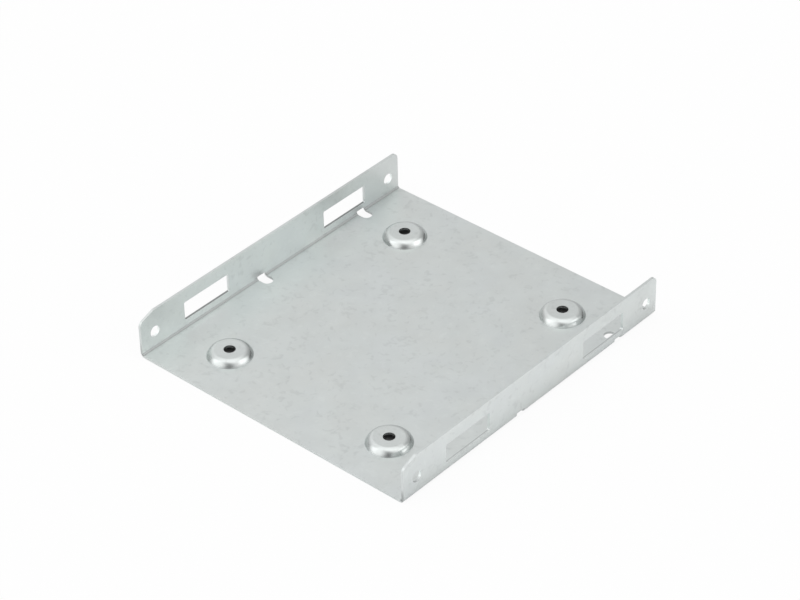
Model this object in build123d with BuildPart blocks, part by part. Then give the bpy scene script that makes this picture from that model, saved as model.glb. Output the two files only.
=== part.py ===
"""Drive bay adapter bracket: one folded sheet that carries a 2.5-inch drive in a 3.5-inch bay.

X runs across the bay, Y along it from the tapered front end to the rear, Z up.
The origin is the middle of the underside. Sizes are in millimetres.
"""
from build123d import *
import os

# Sheet and folds
sheet = 0.8
fold_inside = 0.8
fold_outside = fold_inside + sheet

# Flanges: outside width, height, and the bay's side holes that set the length
width = 101.6
flange_height = 13.9
bay_hole_spacing = 101.6
bay_hole_height = 6.35
bay_hole_diameter = 3.6
front_margin = 5.55
rear_margin = 4.65
length = front_margin + bay_hole_spacing + rear_margin

# Flange ends: lead-in taper at the front and rounded upper corners
taper_run = 5.5
taper_drop = 2.0
corner_round = 2.0

# Flange windows: plain strips are left below and above them
window_length = 18.5
window_sill = 3.4
window_lintel = 4.3
window_corner = 0.5
front_window_from_hole = 12.15
rear_window_from_hole = 10.9

# Slots across the folds, over the bay's bottom holes
slot_spacing = 44.45
slot_width = 3.6
slot_inset = 3.18
slot_past_fold = 0.2
rear_slot_from_hole = 12.78

# Drawn bosses under the drive's bottom holes: a flat crown, and a wall that runs out to the foot
drive_hole_across = 61.72
drive_hole_along = 76.6
drive_hole_diameter = 3.6
drive_hole_from_bay_hole = 11.0
boss_crown_diameter = 9.2
boss_wall_run = 2.3
boss_height = 2.0

# Stations along Y, all reckoned from the two bay holes
front_end = -length / 2
rear_end = length / 2
front_bay_hole = front_end + front_margin
rear_bay_hole = rear_end - rear_margin
front_window = front_bay_hole + front_window_from_hole + window_length / 2
rear_window = rear_bay_hole - rear_window_from_hole - window_length / 2
rear_slot = rear_bay_hole - rear_slot_from_hole
front_slot = rear_slot - slot_spacing
front_drive_hole = front_bay_hole + drive_hole_from_bay_hole
rear_drive_hole = front_drive_hole + drive_hole_along

# Heights and half widths that follow
outer_face = width / 2
window_height = flange_height - window_sill - window_lintel
window_middle = window_sill + window_height / 2
slot_rise = fold_outside + slot_past_fold
boss_top = sheet + boss_height
drive_hole_radius = drive_hole_diameter / 2
crown_radius = boss_crown_diameter / 2
foot_radius = crown_radius + boss_wall_run
hollow_radius = crown_radius + boss_wall_run / 3

# How far the wall's curves are pulled out level, at the crown and at the mouth underneath
crown_pull = boss_wall_run * 5 / 8
mouth_pull = boss_wall_run / 4

os.makedirs("parts", exist_ok=True)

# One boss on its own axis: a flat crown that rolls over down to a crisp foot, with a flared mouth underneath
with BuildPart() as boss:
    with BuildSketch(Plane.XZ) as boss_section:
        with BuildLine():
            crown = Line((drive_hole_radius, boss_top), (crown_radius, boss_top))
            wall = Bezier(crown @ 1, (crown_radius + crown_pull, boss_top), (foot_radius, sheet))
            rim = Line(wall @ 1, (foot_radius, 0))
            mouth = Bezier(rim @ 1, (foot_radius - mouth_pull, 0), (hollow_radius, boss_height))
            Polyline(mouth @ 1, (drive_hole_radius, boss_height), crown @ 0)
        make_face()
    revolve(axis=Axis.Z)

# The right half of the bracket, then its mirror image
with BuildPart() as bracket:
    # Floor, fold and flange in one section
    with BuildSketch(Plane.XZ) as fold_section:
        with BuildLine():
            FilletPolyline((0, 0), (outer_face, 0), (outer_face, flange_height), radius=fold_outside)
            offset(amount=sheet, side=Side.LEFT)
        make_face()
    extrude(amount=length / 2, both=True)

    # Side view: the taper and the rounded corners
    with BuildSketch(Plane.YZ) as side_view:
        with BuildLine():
            Polyline(
                (front_end, 0),
                (rear_end, 0),
                (rear_end, flange_height),
                (front_end + taper_run, flange_height),
                (front_end, flange_height - taper_drop),
                close=True,
            )
        make_face()
        fillet(side_view.vertices().group_by(Axis.Y)[1:], corner_round)
    extrude(amount=width, mode=Mode.INTERSECT)

    # Windows and bay holes through the flange
    with BuildSketch(Plane.YZ):
        with Locations((front_window, window_middle), (rear_window, window_middle)):
            RectangleRounded(window_length, window_height, window_corner)
        with Locations((front_bay_hole, bay_hole_height), (rear_bay_hole, bay_hole_height)):
            Circle(bay_hole_diameter / 2)
    extrude(amount=width, mode=Mode.SUBTRACT)

    # Slots: a round end in the floor, and straight sides through the fold to a square end in the flange
    with BuildSketch(Plane.XY):
        with Locations((outer_face, front_slot), (outer_face, rear_slot)):
            SlotCenterToCenter(2 * slot_inset, slot_width)
    extrude(amount=sheet, mode=Mode.SUBTRACT)
    with BuildSketch(Plane.YZ.offset(outer_face - fold_outside)):
        with Locations((front_slot, slot_rise / 2), (rear_slot, slot_rise / 2)):
            Rectangle(slot_width, slot_rise)
    extrude(amount=fold_outside, mode=Mode.SUBTRACT)

    # Bosses, each set into a round opening of its own foot size
    boss_places = Locations(
        (drive_hole_across / 2, front_drive_hole),
        (drive_hole_across / 2, rear_drive_hole),
    )
    with BuildSketch(Plane.XY):
        with boss_places:
            Circle(foot_radius)
    extrude(amount=sheet, mode=Mode.SUBTRACT)
    with boss_places:
        add(boss.part)

    mirror(about=Plane.YZ)

bracket.part.label = "bracket"
export_step(bracket.part, "parts/bracket.step")
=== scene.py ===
"""Looks of the drive bay adapter bracket: galvanised sheet steel on a white studio floor.

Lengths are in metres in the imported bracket's frame: X across, Y from the front to the rear, Z up.
"""
import bpy
from math import cos, radians, sin
from mathutils import Matrix, Vector


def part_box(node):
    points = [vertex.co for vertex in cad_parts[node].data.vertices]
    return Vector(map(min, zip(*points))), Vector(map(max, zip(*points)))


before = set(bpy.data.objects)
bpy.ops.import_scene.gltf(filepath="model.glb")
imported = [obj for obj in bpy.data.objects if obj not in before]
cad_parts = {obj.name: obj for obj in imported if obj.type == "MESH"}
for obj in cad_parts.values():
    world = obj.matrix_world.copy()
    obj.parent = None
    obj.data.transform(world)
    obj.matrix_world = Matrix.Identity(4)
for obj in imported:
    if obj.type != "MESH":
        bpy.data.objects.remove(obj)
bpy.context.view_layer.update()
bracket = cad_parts["bracket"]
half_width, half_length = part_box("bracket")[1].xy
scene = bpy.context.scene
scene.view_settings.view_transform = "Standard"
millimetre = 0.001
white = (1, 1, 1, 1)

# Camera, fitted to the photo's 800 by 600 pixels, with angles in degrees
photo_width = 800
sensor_width = 36
focal_pixels = 2870.629
camera_azimuth = 42.279
camera_elevation = 36.766
camera_roll = -1.402
camera_distance = 0.852334
look_at = Vector((-0.011257, 0.012837, 0.0))

# Dome: an even level and soft patches, each by turn, rise, inner angle, outer angle and gain
dome_level = 0.915
dome_patches = (
    (0, 87, 5, 50, 0.36),
    (78, 29, 8, 33, 0.95),
    (-60, 26, 5, 45, 1.0),
    (-30, 18, 28, 60, -0.68),
    (122, -15, 5, 36, -0.65),
    (120, -10, 30, 90, -0.49),
    (-120, -15, 5, 60, -0.5),
)

# Floor: size, and the paper's shades: white outside, and darker under the slots and under the tray as
# painted shade
floor_half = 6.0
white_shade = 0.9
slot_painted_shade = 0.5
tray_painted_shade = 0.33
slot_zone = 6 * millimetre
end_margin = 1 * millimetre

# Floor: how much of each zone shines by itself, to the camera and in the steel that mirrors it
camera_share = 0.93
side_share = 1.0
contact_share = 0.0
contact_reach = 9 * millimetre
front_share = 0.35
slot_share = 0.35
back_share = 0.7
back_mirror_strength = 0.85

# Floor: its zones in the squares of its grid, front row first, each from left to right
floor_zones = (
    ("side", "front", "front", "front", "side"),
    ("side", "slots", "tray", "slots", "side"),
    ("side", "back", "back", "back", "side"),
)

# Zinc: tints in patches, flecks in clusters, clouds, crystals and grain, with scales in repeats per metre
tint_scale = 45.0
tint_stops = (0.36, 0.5, 0.64)
zinc_tints = ((0.708, 0.737, 0.726), (0.705, 0.739, 0.730), (0.703, 0.737, 0.734))
fleck_scale = 520.0
cluster_scale = 130.0
cluster_weight = 0.35
dark_flecks = (0.72, 0.95)
dark_fleck_tone = 0.915
bright_flecks = (0.56, 0.44)
bright_fleck_gain = 0.025
cloud_scale = 110.0
cloud_range = (0.3, 0.7)
cloud_gain = 0.018
crystal_scale = 260.0
crystal_gain = 0.012
grain_scale = 900.0
grain_strength = 0.25
grain_depth = 0.02 * millimetre

# Roughness of the sheet and of the drawn bosses, and how far it wanders with the tints
sheet_rough = 0.38
boss_rough = 0.26
rough_spread = 0.1

# Bosses: the tray's reach across, the heights where a boss begins, and painted shade that darkens its
# foot
tray_edge = (46 * millimetre, 45 * millimetre)
boss_start = (0.9 * millimetre, 1.3 * millimetre)
foot_start = 0.82 * millimetre
foot_shade_fade = (1.8 * millimetre, 0.8 * millimetre)
foot_shade_tone = 0.92

# Folds: their dark line of painted shade, as far from the outer face as from the underside
fold_inset = 1.03 * millimetre
fold_reach = 0.8 * millimetre
fold_shade_tone = 0.56

# Flanges: their depth from the outer face, and how squarely a cut face looks up, along or across
flange_depth = 0.85 * millimetre
faces_up = 0.8
faces_along = 0.7
faces_across = 0.5

# Window sills: a dark line along the middle of the cut, darker and wider on the left
sill_heights = (2.4 * millimetre, 9 * millimetre)
sill_along = 45 * millimetre
sill_inset = 0.4 * millimetre
sill_half_left = 0.3 * millimetre
sill_half_right = 0.16 * millimetre
sill_tone_left = 0.4
sill_tone_right = 0.74

# Flange ends: darker downwards, more so on the right
end_along = 54 * millimetre
end_fade = (6.5 * millimetre, 1.5 * millimetre)
end_tone_left = 0.8
end_tone_right = 0.6

# Side holes: a painted highlight on their walls, on the right only where they look along the flange, with
# painted shade on the other walls there
hole_along = 51 * millimetre
hole_along_reach = 3.5 * millimetre
hole_height = 6.35 * millimetre
hole_reach = 2.5 * millimetre
hole_wall_turn = (0.7, 0.9)
hole_highlight_gain = 1.3
hole_shade_gain = 0.8

# Painted shade: a faint slanting darker band on the left flange, towards the rear
shade_band_slant = 0.9
shade_band_start = (16 * millimetre, 42 * millimetre)
shade_band_end = (60 * millimetre, 52 * millimetre)
shade_band_across = (-44 * millimetre, -50 * millimetre)
shade_band_tone = 0.9


def on_dome(turn, rise):
    """Direction on the dome, turned from the camera's side to its right and risen, both in degrees."""
    azimuth = radians(camera_azimuth + turn)
    flat = cos(radians(rise))
    return Vector((sin(azimuth) * flat, -cos(azimuth) * flat, sin(radians(rise))))


def add(tree, kind, sources=None, **settings):
    """A node with its settings, and each named or numbered input linked or set."""
    node = tree.nodes.new(kind)
    for name, value in settings.items():
        setattr(node, name, value)
    for key, value in (sources or {}).items():
        if isinstance(value, bpy.types.NodeSocket):
            tree.links.new(value, node.inputs[key])
        else:
            node.inputs[key].default_value = value
    return node


def calc(tree, operation, *values):
    """The result of one operation on values."""
    return add(tree, "ShaderNodeMath", dict(enumerate(values)), operation=operation).outputs[0]


def times(tree, product, *factors):
    """The product of several values."""
    for factor in factors:
        product = calc(tree, "MULTIPLY", product, factor)
    return product


def ramp(tree, value, low, high, to_low=0.0, to_high=1.0):
    """A value mapped smoothly from one range to another."""
    sources = {"Value": value, "From Min": low, "From Max": high, "To Min": to_low, "To Max": to_high}
    return add(tree, "ShaderNodeMapRange", sources, interpolation_type="SMOOTHSTEP").outputs["Result"]


def noise(tree, place, scale, **settings):
    """A noise texture's value at a place."""
    return add(tree, "ShaderNodeTexNoise", {"Vector": place, "Scale": scale, **settings}).outputs["Fac"]


def parts(tree, vector):
    """A vector's three parts."""
    return add(tree, "ShaderNodeSeparateXYZ", {0: vector}).outputs


def shade(tree, tone, mask, factor):
    """A tone, multiplied by a factor where the mask is 1."""
    return times(tree, tone, ramp(tree, mask, 0, 1, 1, factor))


def new_material(name):
    """An empty material and its node tree."""
    material = bpy.data.materials.new(name)
    material.use_nodes = True
    material.node_tree.nodes.clear()
    return material, material.node_tree


# World: the dome lights the bracket, and the camera sees plain white
world = bpy.data.worlds.new("studio")
scene.world = world
world.use_nodes = True
sky = world.node_tree
sky.nodes.clear()
toward = add(sky, "ShaderNodeTexCoord").outputs["Generated"]
level = dome_level
for turn, rise, inner, outer, gain in dome_patches:
    sources = {0: toward, 1: on_dome(turn, rise)}
    near = add(sky, "ShaderNodeVectorMath", sources, operation="DOT_PRODUCT").outputs["Value"]
    level = calc(sky, "ADD", level, ramp(sky, near, cos(radians(outer)), cos(radians(inner)), 0, gain))
level = calc(sky, "MAXIMUM", level, 0.0)
dome = add(sky, "ShaderNodeBackground", {"Color": white, "Strength": level}).outputs[0]
backdrop = add(sky, "ShaderNodeBackground", {"Color": white}).outputs[0]
seen = add(sky, "ShaderNodeLightPath").outputs["Is Camera Ray"]
surroundings = add(sky, "ShaderNodeMixShader", {0: seen, 1: dome, 2: backdrop}).outputs[0]
add(sky, "ShaderNodeOutputWorld", {"Surface": surroundings})


def floor_material(name, grey, to_camera, to_mirror, at_contact=None, mirror_strength=None):
    """Paper that keeps the shadow, with a share that shines white to the camera and in the steel.

    With at_contact, the steel's share grows from there beside the bracket to to_mirror at contact_reach.
    With mirror_strength, the shine is weaker in the steel than to the camera.
    """
    material, tree = new_material(name)
    path = add(tree, "ShaderNodeLightPath").outputs
    paper = add(tree, "ShaderNodeBsdfDiffuse", {"Color": (grey, grey, grey, 1)}).outputs[0]
    strength = 1.0
    if mirror_strength is not None:
        strength = ramp(tree, path["Is Camera Ray"], 0, 1, mirror_strength, 1)
    glow = add(tree, "ShaderNodeEmission", {"Color": white, "Strength": strength}).outputs[0]
    if at_contact is not None:
        place = add(tree, "ShaderNodeTexCoord").outputs["Object"]
        aside = calc(tree, "ABSOLUTE", parts(tree, place)["X"])
        to_mirror = ramp(tree, aside, half_width, half_width + contact_reach, at_contact, to_mirror)
    mirrored = calc(tree, "MAXIMUM", path["Is Glossy Ray"], path["Is Transmission Ray"])
    share = calc(tree, "MULTIPLY", path["Is Camera Ray"], to_camera)
    share = calc(tree, "MULTIPLY_ADD", mirrored, to_mirror, share)
    surface = add(tree, "ShaderNodeMixShader", {0: share, 1: paper, 2: glow}).outputs[0]
    add(tree, "ShaderNodeOutputMaterial", {"Surface": surface})
    return material


# Floor: a white sheet, with painted shade where the bracket lies on it
zone_materials = {
    "side": floor_material("floor_lit_side", white_shade, camera_share, side_share, contact_share),
    "front": floor_material("floor_front", white_shade, camera_share, front_share),
    "slots": floor_material("floor_painted_shade_under_slots", slot_painted_shade, camera_share, slot_share),
    "tray": floor_material("floor_painted_shade_under_tray", tray_painted_shade, 0.0, 0.0),
    "back": floor_material(
        "floor_back", white_shade, camera_share, back_share, mirror_strength=back_mirror_strength
    ),
}
tray_half = half_width - slot_zone
zone_end = half_length - end_margin
column_edges = (-floor_half, -half_width, -tray_half, tray_half, half_width, floor_half)
row_edges = (-floor_half, -zone_end, zone_end, floor_half)
corners = [(x, y, 0) for y in row_edges for x in column_edges]
squares = []
square_zones = []
for row, zones in enumerate(floor_zones):
    for column, zone in enumerate(zones):
        front_left = row * len(column_edges) + column
        back_left = front_left + len(column_edges)
        squares.append((front_left, front_left + 1, back_left + 1, back_left))
        square_zones.append(zone)
floor_mesh = bpy.data.meshes.new("floor")
floor_mesh.from_pydata(corners, [], squares)
for material in zone_materials.values():
    floor_mesh.materials.append(material)
zone_order = list(zone_materials)
for square, zone in zip(floor_mesh.polygons, square_zones):
    square.material_index = zone_order.index(zone)
floor = bpy.data.objects.new("floor", floor_mesh)
scene.collection.objects.link(floor)

# Galvanised steel
steel, tree = new_material("galvanised_steel")
place = add(tree, "ShaderNodeTexCoord").outputs["Object"]
x, y, z = parts(tree, place)
facing = parts(tree, add(tree, "ShaderNodeNewGeometry").outputs["True Normal"])
aside = calc(tree, "ABSOLUTE", x)
along = calc(tree, "ABSOLUTE", y)
on_right = ramp(tree, x, -millimetre, millimetre)

# Steel: zinc tints in soft patches
patches = noise(tree, place, tint_scale, Detail=2.0, Roughness=0.6)
tint = add(tree, "ShaderNodeValToRGB", {"Fac": patches})
stops = tint.color_ramp.elements
stops.new(tint_stops[1])
for stop, position, colour in zip(stops, tint_stops, zinc_tints):
    stop.position = position
    stop.color = (*colour, 1)

# Steel: flecks in clusters, clouds and crystals
clusters = noise(tree, place, cluster_scale, Detail=1.0)
flecks = noise(tree, place, fleck_scale, Detail=1.5, Roughness=0.55, Distortion=0.5)
flecks = calc(tree, "MULTIPLY_ADD", clusters, cluster_weight, flecks)
tone = ramp(tree, flecks, *dark_flecks, 1.0, dark_fleck_tone)
tone = calc(tree, "ADD", tone, ramp(tree, flecks, *bright_flecks, 0.0, bright_fleck_gain))
clouds = noise(tree, place, cloud_scale, Detail=2.0)
tone = calc(tree, "ADD", tone, ramp(tree, clouds, *cloud_range, -cloud_gain, cloud_gain))
crystals = add(tree, "ShaderNodeTexVoronoi", {"Vector": place, "Scale": crystal_scale}).outputs["Color"]
tone = calc(tree, "MULTIPLY_ADD", parts(tree, crystals)["X"], crystal_gain, tone)

# Steel: smoother bosses, with painted shade darkening their foot
on_tray = ramp(tree, aside, *tray_edge)
on_boss = times(tree, on_tray, ramp(tree, z, *boss_start))
roughness = ramp(tree, on_boss, 0, 1, sheet_rough - rough_spread / 2, boss_rough - rough_spread / 2)
roughness = calc(tree, "MULTIPLY_ADD", patches, rough_spread, roughness)
above_tray = calc(tree, "GREATER_THAN", z, foot_start)
foot_shade_mask = times(tree, on_tray, above_tray, ramp(tree, z, *foot_shade_fade))
tone = shade(tree, tone, foot_shade_mask, foot_shade_tone)

# Steel: painted shade, a dark line inside the folds
from_fold = add(tree, "ShaderNodeCombineXYZ", {
    "X": calc(tree, "SUBTRACT", aside, half_width - fold_inset),
    "Y": calc(tree, "SUBTRACT", z, fold_inset),
}).outputs[0]
from_fold = add(tree, "ShaderNodeVectorMath", {0: from_fold}, operation="LENGTH").outputs["Value"]
tone = shade(tree, tone, ramp(tree, from_fold, fold_reach, 0.0), fold_shade_tone)

# Steel: dark line on the window sills
in_flange = calc(tree, "GREATER_THAN", aside, half_width - flange_depth)
level_cut = calc(tree, "GREATER_THAN", facing["Z"], faces_up)
above_fold = calc(tree, "GREATER_THAN", z, sill_heights[0])
under_lintel = calc(tree, "LESS_THAN", z, sill_heights[1])
between_holes = calc(tree, "LESS_THAN", along, sill_along)
sill_line_half = ramp(tree, on_right, 0, 1, sill_half_left, sill_half_right)
sill_line = calc(tree, "COMPARE", aside, half_width - sill_inset, sill_line_half)
sill_line = times(tree, sill_line, in_flange, level_cut, above_fold, under_lintel, between_holes)
tone = shade(tree, tone, sill_line, ramp(tree, on_right, 0, 1, sill_tone_left, sill_tone_right))

# Steel: darker lower ends of the flanges
facing_along = calc(tree, "ABSOLUTE", facing["Y"])
end_cut = calc(tree, "GREATER_THAN", facing_along, faces_along)
at_end = calc(tree, "GREATER_THAN", along, end_along)
end_cut = times(tree, end_cut, in_flange, at_end, ramp(tree, z, *end_fade))
tone = shade(tree, tone, end_cut, ramp(tree, on_right, 0, 1, end_tone_left, end_tone_right))

# Steel: painted highlight on the walls of the side holes, and painted shade on some walls on the right
hole_highlight_mask = calc(tree, "LESS_THAN", calc(tree, "ABSOLUTE", facing["X"]), faces_across)
by_hole = calc(tree, "COMPARE", along, hole_along, hole_along_reach)
at_hole_height = calc(tree, "COMPARE", z, hole_height, hole_reach)
hole_highlight_mask = times(tree, hole_highlight_mask, in_flange, by_hole, at_hole_height)
right_hole_highlight = ramp(tree, facing_along, *hole_wall_turn, hole_shade_gain, hole_highlight_gain)
tone = shade(tree, tone, hole_highlight_mask, ramp(tree, on_right, 0, 1, hole_highlight_gain, right_hole_highlight))

# Steel: painted shade in a slanting band on the left flange
slant = calc(tree, "MULTIPLY_ADD", z, shade_band_slant, y)
shade_band = times(tree, ramp(tree, slant, *shade_band_start), ramp(tree, slant, *shade_band_end))
shade_band = times(tree, shade_band, ramp(tree, x, *shade_band_across))
tone = shade(tree, tone, shade_band, shade_band_tone)

# Steel: surface with a fine grain
shaded = add(tree, "ShaderNodeVectorMath", {0: tint.outputs["Color"], "Scale": tone}, operation="SCALE")
grain = noise(tree, place, grain_scale, Detail=3.0)
relief = {"Height": grain, "Strength": grain_strength, "Distance": grain_depth}
surface = add(tree, "ShaderNodeBsdfPrincipled", {
    "Base Color": shaded.outputs[0],
    "Metallic": 1.0,
    "Roughness": roughness,
    "Normal": add(tree, "ShaderNodeBump", relief).outputs["Normal"],
})
add(tree, "ShaderNodeOutputMaterial", {"Surface": surface.outputs[0]})
bracket.material_slots[0].material = steel

# Camera: level at first, then rolled
back = on_dome(0, camera_elevation)
azimuth = radians(camera_azimuth)
roll = radians(camera_roll)
level_right = Vector((cos(azimuth), sin(azimuth), 0))
level_up = back.cross(level_right)
right = level_right * cos(roll) + level_up * sin(roll)
up = level_up * cos(roll) - level_right * sin(roll)
lens = bpy.data.cameras.new("camera")
lens.sensor_width = sensor_width
lens.lens = focal_pixels * sensor_width / photo_width
camera = bpy.data.objects.new("camera", lens)
turned = Matrix((right, up, back)).transposed().to_4x4()
camera.matrix_world = Matrix.Translation(look_at + back * camera_distance) @ turned
scene.collection.objects.link(camera)
scene.camera = camera
